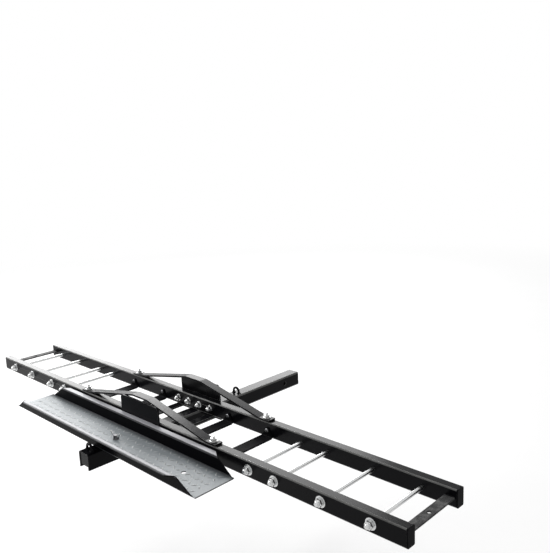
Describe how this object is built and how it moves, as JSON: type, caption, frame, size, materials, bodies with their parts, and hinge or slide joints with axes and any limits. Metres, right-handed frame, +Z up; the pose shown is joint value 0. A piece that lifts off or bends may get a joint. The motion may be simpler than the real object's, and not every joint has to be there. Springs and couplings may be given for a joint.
{
  "type": "hitch motorcycle carrier",
  "caption": "Hitch carrier for a motorcycle: a two-rail wheel track with cross rods on a square receiver bar, bridge bars, and a folded loading ramp stored on an arm.",
  "frame": {"origin": "centre of the hitch pin hole, on the receiver bar's axis", "axes": "+X along the wheel track to the right, +Y along the receiver bar towards the vehicle, +Z up"},
  "size_m": [1.96, 0.9141, 0.1598],
  "materials": {
    "black_paint": "gloss black powder coat on steel, with light orange peel and worn edges",
    "tread_paint": "gloss dark powder coat on embossed tread sheet",
    "zinc_plate": "bright zinc plating",
    "black_plastic": "satin moulded plastic"
  },
  "bodies": {
    "carrier": {"main_beam": "black_paint", "saddle_plate_near": "black_paint", "saddle_plate_far": "black_paint", "saddle_strap_left": "black_paint", "saddle_strap_right": "black_paint", "saddle_bolts": "zinc_plate", "saddle_washers": "zinc_plate", "saddle_nuts": "zinc_plate", "rail_near_left": "black_paint", "rail_near_right": "black_paint", "rail_far_left": "black_paint", "rail_far_right": "black_paint", "rail_plugs": "black_plastic", "rung_left_outer": "black_paint", "rung_left_inner": "black_paint", "rung_right_inner": "black_paint", "rung_right_outer": "black_paint", "rung_screws": "zinc_plate", "end_bar_left": "black_paint", "end_bar_right": "black_paint", "wheel_rods_left": "zinc_plate", "wheel_rods_right": "zinc_plate", "rod_washers": "zinc_plate", "rod_nuts": "zinc_plate", "bridge_near": "black_paint", "bridge_far": "black_paint", "bridge_bolts": "zinc_plate", "bridge_washers": "zinc_plate", "bridge_nuts": "zinc_plate", "ramp_arm": "black_paint", "strap_loop_near": "black_paint", "strap_loop_far": "black_paint"},
    "ramp": {"ramp": "tread_paint"},
    "wing_screw": {"wing_screw": "zinc_plate"}
  },
  "joints": [
    {"name": "ramp_lift", "type": "slide", "parent": "carrier", "child": "ramp", "axis": [0, 0, 1], "range_m": [0, 0.3]},
    {"name": "wing_screw_turn", "type": "hinge", "parent": "ramp", "child": "wing_screw", "pos_m": [0, -0.7261, 0.0254], "axis": [0, 0, 1], "continuous": true}
  ]
}
